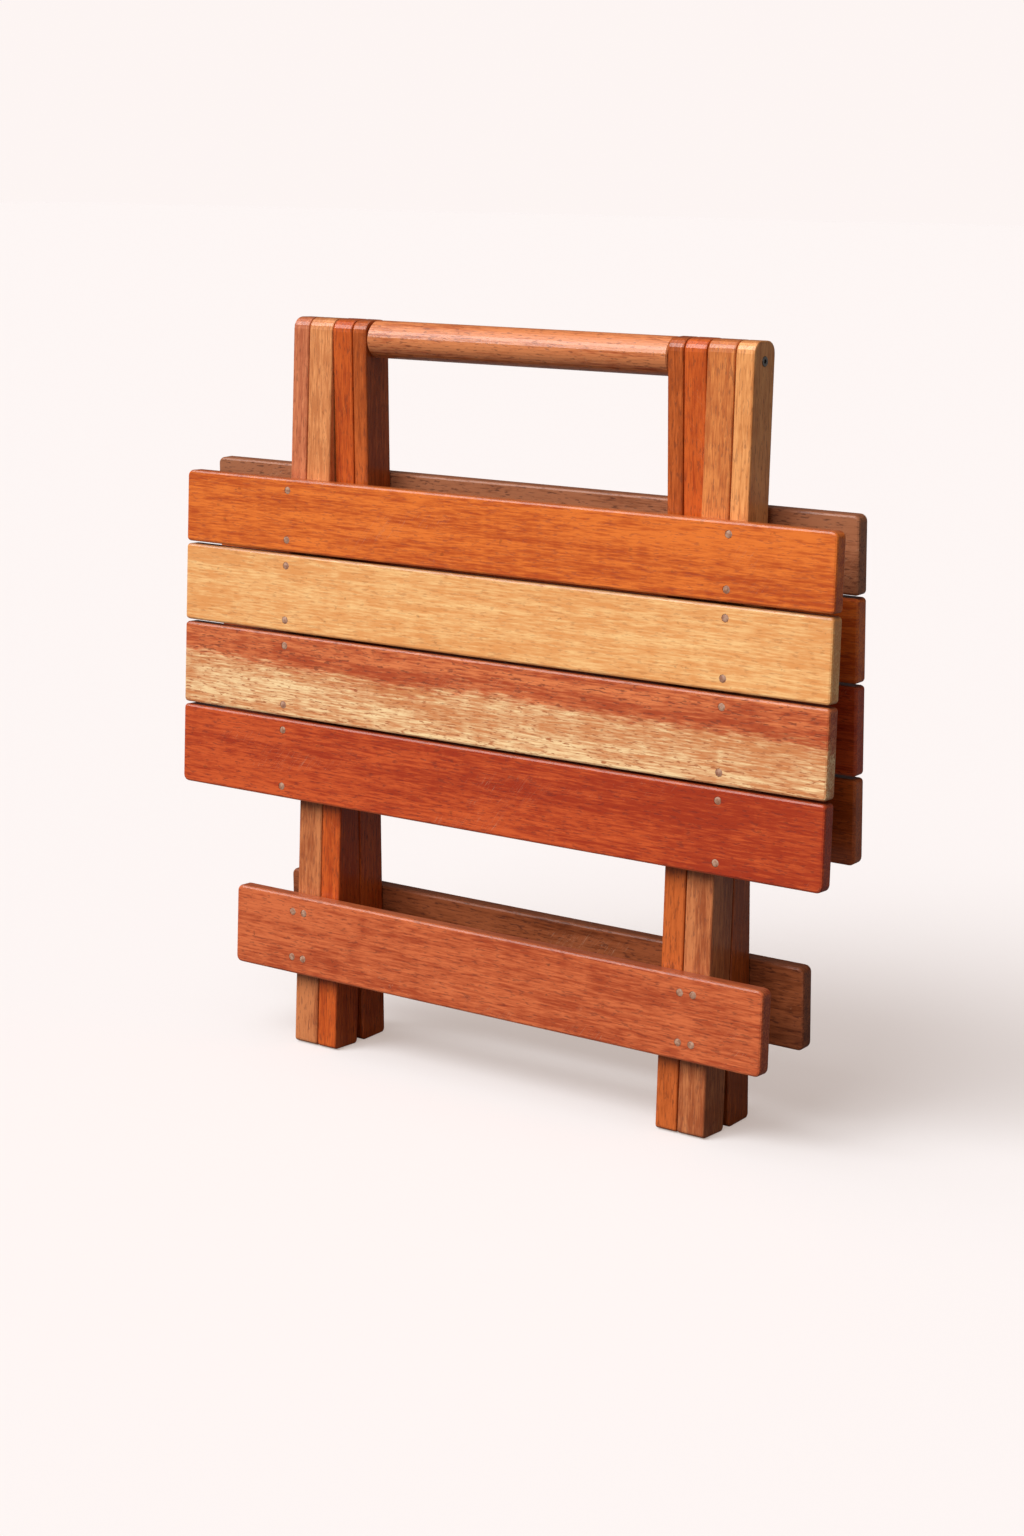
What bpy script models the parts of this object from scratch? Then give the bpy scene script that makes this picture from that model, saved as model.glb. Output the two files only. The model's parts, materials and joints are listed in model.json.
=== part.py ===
"""Folding tray table, folded: two slatted trays and two leg frames on one pivot line.

Frame: metres, +Z up, -Y is the front. The origin is on the floor under the middle of the
bounding box. Every frame and tray is laid out in its own hanging frame, with its origin on
the pivot line and its length down -Z, and then leans a little about that line.
"""
import math

import bmesh
import bpy
from mathutils import Matrix, Vector

# Pivot line and lean
PIVOT_HEIGHT = 0.557
LEAN = math.radians(1.8)
STACK_SHIFT_X = 0.0135

# Post stack on each side, from the handle outwards
HANDLE_LENGTH = 0.269
BACK_BATTEN_WIDTH = 0.0130
BACK_LEG_WIDTH = 0.0180
FRONT_LEG_WIDTH = 0.0225
FRONT_BATTEN_WIDTH = 0.0150
POST_GAP = 0.0008
POST_DEPTH = 0.028
POST_TOP_RADIUS = 0.009
POST_EDGE = 0.0012
FOOT_CHAMFER = 0.002

# Handle and pivot pins
HANDLE_RADIUS = 0.0143
HANDLE_EDGE = 0.001
PIN_RADIUS = 0.0035
PIN_RUN_IN_HANDLE = 0.030
PIN_PROUD = 0.0004
PIN_CUP_RADIUS = 0.0016
PIN_CUP_DEPTH = 0.0020
RUNNING_CLEARANCE = 0.0003

# Trays
SLAT_LENGTH = 0.586
SLAT_THICKNESS = 0.0125
SLAT_HEIGHTS = (0.0565, 0.0605, 0.0645, 0.0625)
SLAT_SPACING = 0.002
SLAT_EDGE = 0.0018
SLAT_CORNER_RADIUS = 0.003
TRAY_CORNER_RADIUS = 0.005
TRAY_TOP_DROP = 0.110
BACK_TRAY_RISE = 0.006
TRAY_OFFSET_X = 0.005
BATTEN_SHORT_OF_EDGE = 0.003

# Crossbars, whose middle stands at this share of the height from the floor to the trays
CROSSBAR_HEIGHT = 0.0625
CROSSBAR_THICKNESS = 0.0125
CROSSBAR_LEVEL = 0.456
FRONT_CROSSBAR_LENGTH = 0.484
BACK_CROSSBAR_LENGTH = 0.478
BACK_CROSSBAR_SHIFT_X = -0.004
CROSSBAR_CORNER_RADIUS = 0.005

# Doublers glued beside the feet of the legs
DOUBLER_TOP_HEIGHT = 0.240
DOUBLER_CLEARANCE = 0.0006

# Screws, and the filler plugs that close the holes over them
PLUG_RADIUS = 0.0028
PLUG_LENGTH = 0.003
PLUG_RECESS = 0.0001
SCREW_HEAD_RADIUS = 0.0027
SCREW_HEAD_LENGTH = 0.0022
SCREW_SHANK_RADIUS = 0.0015
SCREW_LENGTH = 0.022
SCREW_FROM_SLAT_EDGE = 0.009
CROSSBAR_SCREW_FROM_EDGE = 0.013
CROSSBAR_SCREW_HALF_SPACING = 0.0055

# Fits and facets
SEAT_GAP = 0.0003
SCREW_SEGMENTS = 8
PIN_SEGMENTS = 20
HANDLE_SEGMENTS = 36
ARC_STEPS = 5
EDGE_SEGMENTS = 2
SHARP_ANGLE = math.radians(35)
CUT_OVERRUN = 0.002

FRONT = -1
BACK = 1
SIDES = {"left": -1, "right": 1}

WOOD_COLOURS = {
    "orange_brown": (0.46, 0.13, 0.030),
    "golden": (0.68, 0.33, 0.085),
    "red_and_straw": (0.43, 0.15, 0.050),
    "deep_red": (0.32, 0.050, 0.016),
    "light_tan": (0.50, 0.20, 0.070),
    "reddish": (0.36, 0.085, 0.025),
}
WOOD_ROUGHNESS = 0.38
STEEL_COLOUR = (0.55, 0.54, 0.52)
STEEL_ROUGHNESS = 0.35


def clear_scene():
    """Remove every object of the scene that the file opened with."""
    for obj in list(bpy.data.objects):
        bpy.data.objects.remove(obj, do_unlink=True)


def slot_edges():
    """Near and far faces of each post slot, measured outwards from the handle's middle."""
    widths = {
        "back_batten": BACK_BATTEN_WIDTH,
        "back_leg": BACK_LEG_WIDTH,
        "front_leg": FRONT_LEG_WIDTH,
        "front_batten": FRONT_BATTEN_WIDTH,
    }
    edges = {}
    near = HANDLE_LENGTH / 2 + POST_GAP
    for slot, width in widths.items():
        edges[slot] = (near, near + width)
        near += width + POST_GAP
    return edges


SLOTS = slot_edges()
LEG_LENGTH = (PIVOT_HEIGHT - POST_DEPTH / 2 * math.sin(LEAN)) / math.cos(LEAN)
TRAY_HEIGHT = sum(SLAT_HEIGHTS) + SLAT_SPACING * (len(SLAT_HEIGHTS) - 1)
TRAY_BOTTOM_HEIGHT = PIVOT_HEIGHT - TRAY_TOP_DROP - TRAY_HEIGHT


def slot_span(slot, side):
    """Low and high X of a slot on one side of the table."""
    near, far = SLOTS[slot]
    ends = sorted((SIDES[side] * near, SIDES[side] * far))
    return STACK_SHIFT_X + ends[0], STACK_SHIFT_X + ends[1]


def slot_middle(slot, side):
    """X of the middle of a slot."""
    return sum(slot_span(slot, side)) / 2


def material(name, colour, roughness, metallic):
    """A Principled material with one colour."""
    mat = bpy.data.materials.new(name)
    mat.use_nodes = True
    shader = mat.node_tree.nodes["Principled BSDF"]
    shader.inputs["Base Color"].default_value = (*colour, 1.0)
    shader.inputs["Roughness"].default_value = roughness
    shader.inputs["Metallic"].default_value = metallic
    mat.diffuse_color = (*colour, 1.0)
    return mat


def wood(name, tone):
    """Varnished wood of one of the named tones."""
    return material(name, WOOD_COLOURS[tone], WOOD_ROUGHNESS, 0.0)


def steel(name):
    """Dull steel."""
    return material(name, STEEL_COLOUR, STEEL_ROUGHNESS, 1.0)


def add_object(name, bm, parent, finish):
    """Make a named object from a bmesh, with its own material, under its joint's empty."""
    bmesh.ops.recalc_face_normals(bm, faces=bm.faces)
    mesh = bpy.data.meshes.new(name)
    bm.to_mesh(mesh)
    bm.free()
    obj = bpy.data.objects.new(name, mesh)
    bpy.context.scene.collection.objects.link(obj)
    obj.parent = parent
    if finish:
        mesh.materials.append(finish)
    return obj


def hanging_frame(name, lean):
    """An empty on the pivot line, turned to the lean of the frame that hangs from it."""
    empty = bpy.data.objects.new(name, None)
    empty.location = (0.0, 0.0, PIVOT_HEIGHT)
    empty.rotation_euler = (lean, 0.0, 0.0)
    bpy.context.scene.collection.objects.link(empty)
    return empty


def arc(centre, radius, start, end):
    """Points along an arc, with angles in degrees."""
    points = []
    for step in range(ARC_STEPS + 1):
        angle = math.radians(start + (end - start) * step / ARC_STEPS)
        points.append((centre[0] + radius * math.cos(angle), centre[1] + radius * math.sin(angle)))
    return points


def rounded_rectangle(width, low, high, low_radius, high_radius):
    """Outline centred on the first axis, with its own radius at the low and the high corners."""
    half = width / 2
    outline = arc((-half + low_radius, low + low_radius), low_radius, 180, 270)
    outline += arc((half - low_radius, low + low_radius), low_radius, 270, 360)
    outline += arc((half - high_radius, high - high_radius), high_radius, 0, 90)
    outline += arc((-half + high_radius, high - high_radius), high_radius, 90, 180)
    return outline


def prism(outline, low, high, along):
    """Extrude an outline from low to high, along X with (y, z) points or along Y with (x, z)."""
    bm = bmesh.new()
    if along == "X":
        verts = [bm.verts.new((low, a, b)) for a, b in outline]
        shift = Vector((high - low, 0, 0))
    else:
        verts = [bm.verts.new((a, low, b)) for a, b in outline]
        shift = Vector((0, high - low, 0))
    face = bm.faces.new(verts)
    extruded = bmesh.ops.extrude_face_region(bm, geom=[face])
    moved = [item for item in extruded["geom"] if isinstance(item, bmesh.types.BMVert)]
    bmesh.ops.translate(bm, verts=moved, vec=shift)
    return bm


def soften(obj, width):
    """Round the sharp edges of an object."""
    bevel = obj.modifiers.new("edges", "BEVEL")
    bevel.width = width
    bevel.segments = EDGE_SEGMENTS
    bevel.limit_method = "ANGLE"
    bevel.angle_limit = SHARP_ANGLE
    return obj


def shade(obj):
    """Smooth shading that keeps the real edges."""
    obj.data.shade_smooth()
    obj.data.set_sharp_from_angle(angle=SHARP_ANGLE)
    return obj


def turned(bm, profile, segments, place):
    """Add a solid of revolution: (radius, distance) points, on the axis at both ends."""
    rings = []
    for radius, distance in profile:
        if radius == 0:
            rings.append([bm.verts.new(place @ Vector((0, 0, distance)))])
            continue
        ring = []
        for step in range(segments):
            angle = 2 * math.pi * step / segments
            spot = Vector((radius * math.cos(angle), radius * math.sin(angle), distance))
            ring.append(bm.verts.new(place @ spot))
        rings.append(ring)
    for ring, following in zip(rings, rings[1:]):
        for step in range(segments):
            after = (step + 1) % segments
            corners = [ring[step % len(ring)], ring[after % len(ring)]]
            corners += [following[after % len(following)], following[step % len(following)]]
            bm.faces.new(list(dict.fromkeys(corners)))


def cut(obj, bm, name):
    """Take the closed shapes in bm out of an object."""
    cutter = add_object(name, bm, obj.parent, None)
    cutter.hide_render = True
    cutter.display_type = "WIRE"
    boolean = obj.modifiers.new(name, "BOOLEAN")
    boolean.operation = "DIFFERENCE"
    boolean.solver = "EXACT"
    boolean.object = cutter
    return obj


def across(x, z=0.0, y=0.0):
    """Placement of a turned piece whose axis runs along +X from x."""
    return Matrix.Translation((x, y, z)) @ Matrix.Rotation(math.radians(90), 4, "Y")


def inwards(facing, x, z, outer_face):
    """Placement of a screw that enters from an outer face towards the posts."""
    turn = Matrix.Rotation(math.radians(90) * facing, 4, "X")
    return Matrix.Translation((x, facing * outer_face, z)) @ turn


def pivot_bore(bm, span):
    """Cutter for the pivot pin's running bore through a post."""
    radius = PIN_RADIUS + RUNNING_CLEARANCE
    start = span[0] - CUT_OVERRUN
    length = span[1] - span[0] + 2 * CUT_OVERRUN
    turned(bm, [(0, 0), (radius, 0), (radius, length), (0, length)], PIN_SEGMENTS, across(start))


def screw_profile():
    """Countersunk screw under its plug, by depth below the outer face."""
    head = PLUG_RECESS + PLUG_LENGTH + SEAT_GAP
    shank = head + SCREW_HEAD_LENGTH
    tip = head + SCREW_LENGTH
    return [
        (0, head),
        (SCREW_HEAD_RADIUS, head),
        (SCREW_SHANK_RADIUS, shank),
        (SCREW_SHANK_RADIUS, tip - SCREW_SHANK_RADIUS),
        (0, tip),
    ]


def screw_hole_profile():
    """Stepped hole for a screw and its plug, by depth below the outer face."""
    wide = max(PLUG_RADIUS, SCREW_HEAD_RADIUS) + SEAT_GAP
    narrow = SCREW_SHANK_RADIUS + SEAT_GAP
    seat = PLUG_RECESS + PLUG_LENGTH + SCREW_HEAD_LENGTH + 2 * SEAT_GAP
    bottom = PLUG_RECESS + PLUG_LENGTH + SCREW_LENGTH + 2 * SEAT_GAP
    hole = [(0, -CUT_OVERRUN), (wide, -CUT_OVERRUN), (wide, seat)]
    return hole + [(narrow, seat), (narrow, bottom), (0, bottom)]


def drill(obj, facing, spots, outer_face):
    """Drill the screw holes at the given spots of a piece."""
    bm = bmesh.new()
    for x, z in spots:
        turned(bm, screw_hole_profile(), SCREW_SEGMENTS, inwards(facing, x, z, outer_face))
    return cut(obj, bm, f"{obj.name}_holes")


def post_outline(bottom, foot_chamfer):
    """Side outline (y, z) of a post, from its rounded top down to its squared end."""
    half = POST_DEPTH / 2
    top = HANDLE_RADIUS
    radius = POST_TOP_RADIUS
    outline = arc((half - radius, top - radius), radius, 0, 90)
    outline += arc((-half + radius, top - radius), radius, 90, 180)
    outline += [(-half, bottom + foot_chamfer), (-half + foot_chamfer, bottom)]
    outline += [(half - foot_chamfer, bottom), (half, bottom + foot_chamfer)]
    return outline


def post(name, slot, side, bottom, tone, parent):
    """A post in its slot, bored for the pivot pin."""
    span = slot_span(slot, side)
    bm = prism(post_outline(bottom, FOOT_CHAMFER), span[0], span[1], "X")
    obj = shade(soften(add_object(name, bm, parent, wood(name, tone)), POST_EDGE))
    bore = bmesh.new()
    pivot_bore(bore, span)
    return cut(obj, bore, f"{name}_bore")


def doubler_outline(facing):
    """Side outline (y, z) of a doubler: its inner face slopes clear of the other leg frame."""
    half = POST_DEPTH / 2
    slope = math.tan(2 * LEAN)
    low = -LEG_LENGTH
    high = DOUBLER_TOP_HEIGHT - PIVOT_HEIGHT
    other_face = half / math.cos(2 * LEAN) + DOUBLER_CLEARANCE
    full_depth_until = -(half + other_face) / slope
    high_inner = -other_face - high * slope
    outline = [
        (half, low + FOOT_CHAMFER),
        (half, high),
        (-high_inner, high),
        (-half, full_depth_until),
        (-half, low + FOOT_CHAMFER),
        (-half + FOOT_CHAMFER, low),
        (half - FOOT_CHAMFER, low),
    ]
    return [(facing * y, z) for y, z in outline]


def doubler(name, slot, side, facing, tone, parent):
    """A doubler glued beside a leg, in the slot of the other frame's leg."""
    span = slot_span(slot, side)
    bm = prism(doubler_outline(facing), span[0], span[1], "X")
    return shade(soften(add_object(name, bm, parent, wood(name, tone)), POST_EDGE))


def board(name, length, middle_x, low, high, radii, thickness, facing, tone, parent):
    """A flat board screwed to the outer face of the posts."""
    outline = rounded_rectangle(length, low, high, *radii)
    seat = POST_DEPTH / 2 + SEAT_GAP
    ends = sorted((facing * seat, facing * (seat + thickness)))
    bm = prism([(x + middle_x, z) for x, z in outline], ends[0], ends[1], "Y")
    return shade(soften(add_object(name, bm, parent, wood(name, tone)), SLAT_EDGE))


def slat_spans(top):
    """Low and high Z of each slat, from the top one down."""
    spans = []
    high = top
    for height in SLAT_HEIGHTS:
        spans.append((high - height, high))
        high -= height + SLAT_SPACING
    return spans


def build_tray(side_name, facing, slot, offset_x, top, tones, batten_tones):
    """Four slats on two battens, with their screws."""
    parent = hanging_frame(f"{side_name}_tray_axis", facing * LEAN)
    outer_face = POST_DEPTH / 2 + SEAT_GAP + SLAT_THICKNESS
    spans = slat_spans(top)
    spots = {side: [] for side in SIDES}
    for number, (low, high) in enumerate(spans):
        low_radius = TRAY_CORNER_RADIUS if number == len(spans) - 1 else SLAT_CORNER_RADIUS
        high_radius = TRAY_CORNER_RADIUS if number == 0 else SLAT_CORNER_RADIUS
        slat = board(
            f"{side_name}_tray_slat_{number + 1}", SLAT_LENGTH, offset_x, low, high,
            (low_radius, high_radius), SLAT_THICKNESS, facing, tones[number], parent,
        )
        slat_spots = []
        for side in SIDES:
            for z in (high - SCREW_FROM_SLAT_EDGE, low + SCREW_FROM_SLAT_EDGE):
                slat_spots.append((slot_middle(slot, side), z))
                spots[side].append(slat_spots[-1])
        drill(slat, facing, slat_spots, outer_face)
    bottom = top - TRAY_HEIGHT + BATTEN_SHORT_OF_EDGE
    for side in SIDES:
        name = f"{side_name}_tray_batten_{side}"
        batten = post(name, slot, side, bottom, batten_tones[side], parent)
        drill(batten, facing, spots[side], outer_face)
        add_screws(f"{side_name}_tray", facing, side, spots[side], outer_face, parent)


def add_screws(prefix, facing, side, spots, outer_face, parent):
    """The screws that hold one end of the slats, from the top one down."""
    for number, (x, z) in enumerate(spots):
        name = f"{prefix}_screw_{side}_{number + 1}"
        bm = bmesh.new()
        turned(bm, screw_profile(), SCREW_SEGMENTS, inwards(facing, x, z, outer_face))
        shade(add_object(name, bm, parent, steel(name)))


def build_leg_frame(side_name, facing, leg_slot, doubler_slot, bar_length, bar_middle, tones):
    """Two legs with their doublers and the crossbar that joins them."""
    parent = hanging_frame(f"{side_name}_legs_axis", facing * LEAN)
    outer_face = POST_DEPTH / 2 + SEAT_GAP + CROSSBAR_THICKNESS
    middle = CROSSBAR_LEVEL * TRAY_BOTTOM_HEIGHT - PIVOT_HEIGHT
    low = middle - CROSSBAR_HEIGHT / 2
    high = middle + CROSSBAR_HEIGHT / 2
    spots = []
    for side in SIDES:
        side_spots = []
        for shift in (-CROSSBAR_SCREW_HALF_SPACING, CROSSBAR_SCREW_HALF_SPACING):
            for z in (low + CROSSBAR_SCREW_FROM_EDGE, high - CROSSBAR_SCREW_FROM_EDGE):
                side_spots.append((slot_middle(leg_slot, side) + shift, z))
        leg_name = f"{side_name}_leg_{side}"
        leg = post(leg_name, leg_slot, side, -LEG_LENGTH, tones[f"leg_{side}"], parent)
        drill(leg, facing, side_spots, outer_face)
        spots += side_spots
        doubler_name = f"{side_name}_leg_doubler_{side}"
        doubler(doubler_name, doubler_slot, side, facing, tones[f"doubler_{side}"], parent)
    radii = (CROSSBAR_CORNER_RADIUS, CROSSBAR_CORNER_RADIUS)
    bar = board(
        f"{side_name}_crossbar", bar_length, bar_middle, low, high, radii,
        CROSSBAR_THICKNESS, facing, tones["crossbar"], parent,
    )
    drill(bar, facing, spots, outer_face)


def build_handle():
    """The round handle between the posts and the pins that carry every post."""
    parent = hanging_frame("handle_axis", 0.0)
    half = HANDLE_LENGTH / 2
    bm = bmesh.new()
    profile = [
        (0, -half),
        (HANDLE_RADIUS - HANDLE_EDGE, -half),
        (HANDLE_RADIUS, -half + HANDLE_EDGE),
        (HANDLE_RADIUS, half - HANDLE_EDGE),
        (HANDLE_RADIUS - HANDLE_EDGE, half),
        (0, half),
    ]
    turned(bm, profile, HANDLE_SEGMENTS, across(STACK_SHIFT_X))
    handle = shade(add_object("handle_dowel", bm, parent, wood("handle_dowel", "light_tan")))
    bores = bmesh.new()
    radius = PIN_RADIUS + RUNNING_CLEARANCE
    for sign in SIDES.values():
        near = half - PIN_RUN_IN_HANDLE - SEAT_GAP
        far = half + CUT_OVERRUN
        ends = sorted((sign * near, sign * far))
        bore = [(0, ends[0]), (radius, ends[0]), (radius, ends[1]), (0, ends[1])]
        turned(bores, bore, PIN_SEGMENTS, across(STACK_SHIFT_X))
    cut(handle, bores, "handle_dowel_bores")
    inner_end = half - PIN_RUN_IN_HANDLE
    outer_end = SLOTS["front_batten"][1] + PIN_PROUD
    for side, sign in SIDES.items():
        name = f"pivot_pin_{side}"
        pin = bmesh.new()
        profile = [
            (0, sign * inner_end),
            (PIN_RADIUS, sign * inner_end),
            (PIN_RADIUS, sign * outer_end),
            (PIN_CUP_RADIUS, sign * outer_end),
            (PIN_CUP_RADIUS, sign * (outer_end - PIN_CUP_DEPTH)),
            (0, sign * (outer_end - PIN_CUP_DEPTH)),
        ]
        turned(pin, profile, PIN_SEGMENTS, across(STACK_SHIFT_X))
        shade(add_object(name, pin, parent, steel(name)))


def main():
    """Build the folded table around its pivot line."""
    clear_scene()
    build_handle()
    build_leg_frame(
        "front", FRONT, "front_leg", "back_leg", FRONT_CROSSBAR_LENGTH, STACK_SHIFT_X,
        {"leg_left": "light_tan", "leg_right": "light_tan", "doubler_left": "reddish",
         "doubler_right": "orange_brown", "crossbar": "reddish"},
    )
    build_leg_frame(
        "back", BACK, "back_leg", "front_leg", BACK_CROSSBAR_LENGTH,
        STACK_SHIFT_X + BACK_CROSSBAR_SHIFT_X,
        {"leg_left": "reddish", "leg_right": "reddish", "doubler_left": "reddish",
         "doubler_right": "reddish", "crossbar": "reddish"},
    )
    build_tray(
        "front", FRONT, "front_batten", TRAY_OFFSET_X, -TRAY_TOP_DROP,
        ("orange_brown", "golden", "red_and_straw", "deep_red"),
        {"left": "reddish", "right": "light_tan"},
    )
    build_tray(
        "back", BACK, "back_batten", -TRAY_OFFSET_X, -TRAY_TOP_DROP + BACK_TRAY_RISE,
        ("reddish", "orange_brown", "deep_red", "reddish"),
        {"left": "orange_brown", "right": "reddish"},
    )


main()
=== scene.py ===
"""Looks of the folding tray table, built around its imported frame."""

import json
import logging
import math
from dataclasses import dataclass
from enum import Enum

import bmesh
import bpy
from mathutils import Matrix, Vector

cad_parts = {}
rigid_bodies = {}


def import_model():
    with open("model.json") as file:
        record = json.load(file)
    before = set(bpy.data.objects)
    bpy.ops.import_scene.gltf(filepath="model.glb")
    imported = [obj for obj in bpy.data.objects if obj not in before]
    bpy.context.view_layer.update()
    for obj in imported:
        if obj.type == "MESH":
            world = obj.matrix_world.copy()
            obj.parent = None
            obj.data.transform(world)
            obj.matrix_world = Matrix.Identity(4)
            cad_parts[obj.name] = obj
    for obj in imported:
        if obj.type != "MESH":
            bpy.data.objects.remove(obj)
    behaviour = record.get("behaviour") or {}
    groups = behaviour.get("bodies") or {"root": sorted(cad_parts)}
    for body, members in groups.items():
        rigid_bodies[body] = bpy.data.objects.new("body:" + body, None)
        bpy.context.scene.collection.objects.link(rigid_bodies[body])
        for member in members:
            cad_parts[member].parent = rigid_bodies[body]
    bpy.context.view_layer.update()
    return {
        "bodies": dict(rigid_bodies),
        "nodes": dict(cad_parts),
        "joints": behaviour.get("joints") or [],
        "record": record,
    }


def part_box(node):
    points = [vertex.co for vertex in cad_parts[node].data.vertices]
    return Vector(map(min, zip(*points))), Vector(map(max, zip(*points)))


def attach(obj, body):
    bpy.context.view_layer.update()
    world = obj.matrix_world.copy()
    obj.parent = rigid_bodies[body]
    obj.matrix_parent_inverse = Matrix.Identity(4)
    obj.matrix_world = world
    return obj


LOG = logging.getLogger("tray_table")
SIDES = {"left": -1, "right": 1}
SHARP_ANGLE = math.radians(35.0)

Colour = tuple[float, float, float]


class Grain(Enum):
    """The axis that a piece's wood fibres run along."""

    ALONG_X = "x"
    ALONG_Z = "z"


class Facing(Enum):
    """The side of the pivot line that a frame leans to, as the sign of its Y."""

    FRONT = -1
    BACK = 1


class Socket(Enum):
    """Kinds of socket on a shader node group."""

    NUMBER = "NodeSocketFloat"
    COLOUR = "NodeSocketColor"
    VECTOR = "NodeSocketVector"


# --- Node building -----------------------------------------------------------------------


@dataclass(frozen=True)
class Noise:
    """Noise with its own fineness along and across the wood fibres.

    Args:
        along: Cells to the metre along the fibres.
        across: Cells to the metre across them.
        detail: Octaves.
        roughness: Share that each octave keeps of the one before.
        distortion: How far the noise is bent.
    """

    along: float
    across: float
    detail: float
    roughness: float = 0.5
    distortion: float = 0.0


@dataclass
class NodeSheet:
    """Short forms for adding and joining the nodes of one tree.

    Args:
        tree: The node tree that the nodes are added to.
    """

    tree: bpy.types.NodeTree

    def add(self, kind: str, **settings: object) -> bpy.types.Node:
        """Add a node.

        Args:
            kind: Blender's name of the node type.
            settings: Properties of the node.

        Returns:
            The new node.
        """
        node = self.tree.nodes.new(kind)
        for name, value in settings.items():
            setattr(node, name, value)
        return node

    def join(self, source: bpy.types.NodeSocket, target: bpy.types.NodeSocket) -> None:
        """Link an output to an input."""
        self.tree.links.new(source, target)

    def feed(self, target: bpy.types.NodeSocket, value: object) -> None:
        """Give an input a link or a fixed value.

        Args:
            target: The input socket.
            value: An output socket, or a number, colour or vector.
        """
        if isinstance(value, bpy.types.NodeSocket):
            self.join(value, target)
        else:
            target.default_value = value

    def maths(self, operation: str, *values: object) -> bpy.types.NodeSocket:
        """A Math node's result.

        Args:
            operation: The node's operation.
            values: Numbers or output sockets, in the order of its inputs.

        Returns:
            The result socket.
        """
        node = self.add("ShaderNodeMath", operation=operation)
        for socket, value in zip(node.inputs, values):
            self.feed(socket, value)
        return node.outputs[0]

    def plus(self, first: object, second: object) -> bpy.types.NodeSocket:
        """The sum of two numbers or output sockets."""
        return self.maths("ADD", first, second)

    def minus(self, first: object, second: object) -> bpy.types.NodeSocket:
        """The first number or output socket less the second."""
        return self.maths("SUBTRACT", first, second)

    def times(self, first: object, second: object) -> bpy.types.NodeSocket:
        """The product of two numbers or output sockets."""
        return self.maths("MULTIPLY", first, second)

    def weighted(self, parts: list[tuple[object, object]]) -> bpy.types.NodeSocket:
        """Add up values by weight.

        Args:
            parts: Each value with its weight.

        Returns:
            The sum.
        """
        total = self.times(*parts[0])
        for value, weight in parts[1:]:
            total = self.plus(total, self.times(value, weight))
        return total

    def noise(self, vector: bpy.types.NodeSocket, kind: Noise) -> bpy.types.NodeSocket:
        """Noise over a piece.

        Args:
            vector: Coordinates in metres, with the fibres along X.
            kind: The noise.

        Returns:
            The noise's value.
        """
        stretched = self.add("ShaderNodeVectorMath", operation="MULTIPLY")
        self.join(vector, stretched.inputs[0])
        stretched.inputs[1].default_value = (kind.along, kind.across, kind.across)
        node = self.add("ShaderNodeTexNoise")
        self.join(stretched.outputs[0], node.inputs["Vector"])
        node.inputs["Scale"].default_value = 1.0
        node.inputs["Detail"].default_value = kind.detail
        node.inputs["Roughness"].default_value = kind.roughness
        node.inputs["Distortion"].default_value = kind.distortion
        return node.outputs["Fac"]

    def between(self, value: object, low: float, high: float) -> bpy.types.NodeSocket:
        """A smooth mask that is 0 at low and 1 at high.

        Args:
            value: The number that is compared.
            low: Where the mask is 0.
            high: Where the mask is 1.

        Returns:
            The mask, from 0 to 1.
        """
        node = self.add("ShaderNodeMapRange", interpolation_type="SMOOTHSTEP")
        self.feed(node.inputs["Value"], value)
        node.inputs["From Min"].default_value = low
        node.inputs["From Max"].default_value = high
        return node.outputs["Result"]

    def blend(self, share: object, first: object, second: object) -> bpy.types.NodeSocket:
        """Mix two colours.

        Args:
            share: How much of the second colour shows.
            first: Colour or output socket.
            second: Colour or output socket.

        Returns:
            The mixed colour.
        """
        node = self.add("ShaderNodeMix", data_type="RGBA")
        self.feed(node.inputs["Factor"], share)
        self.feed(node.inputs[6], opaque(first))
        self.feed(node.inputs[7], opaque(second))
        return node.outputs[2]


def opaque(value: object) -> object:
    """A colour with alpha 1 where three numbers are given, or the value unchanged."""
    if isinstance(value, tuple) and len(value) == 3:
        return (*value, 1.0)
    return value


def new_group(name: str, inputs: dict[str, Socket], outputs: dict[str, Socket]
              ) -> tuple[bpy.types.NodeTree, NodeSheet, bpy.types.Node, bpy.types.Node]:
    """Start a shader node group.

    Args:
        name: The group's name.
        inputs: Kind of each input by name.
        outputs: Kind of each output by name.

    Returns:
        The group, its sheet, its input node and its output node.
    """
    tree = bpy.data.node_groups.new(name, "ShaderNodeTree")
    for socket, kind in inputs.items():
        tree.interface.new_socket(socket, in_out="INPUT", socket_type=kind.value)
    for socket, kind in outputs.items():
        tree.interface.new_socket(socket, in_out="OUTPUT", socket_type=kind.value)
    sheet = NodeSheet(tree)
    return tree, sheet, sheet.add("NodeGroupInput"), sheet.add("NodeGroupOutput")


# --- Figure and wear of the wood ---------------------------------------------------------

BROAD_TONE = Noise(2.5, 14.0, detail=3.0, distortion=0.6)
STREAKS = Noise(7.0, 130.0, detail=5.0, roughness=0.6, distortion=0.5)
FIBRES = Noise(60.0, 760.0, detail=3.0, roughness=0.6)
FLECKS = Noise(150.0, 760.0, detail=2.0)
CROSS_FIGURE = Noise(70.0, 26.0, detail=2.0, distortion=0.8)
SCUFF_PATCHES = Noise(16.0, 22.0, detail=3.0)
SCUFF_SPECKS = Noise(260.0, 420.0, detail=3.0, roughness=0.7)
SCRATCH_LINES = Noise(14.0, 620.0, detail=1.0)
SCRATCHED_PATCHES = Noise(9.0, 31.0, detail=2.0)
GRIME_SPECKS = Noise(120.0, 170.0, detail=2.0, roughness=0.6)
DENTS = Noise(55.0, 80.0, detail=2.0)
EDGE_RAGGEDNESS = Noise(60.0, 60.0, detail=4.0, roughness=0.6)
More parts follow.
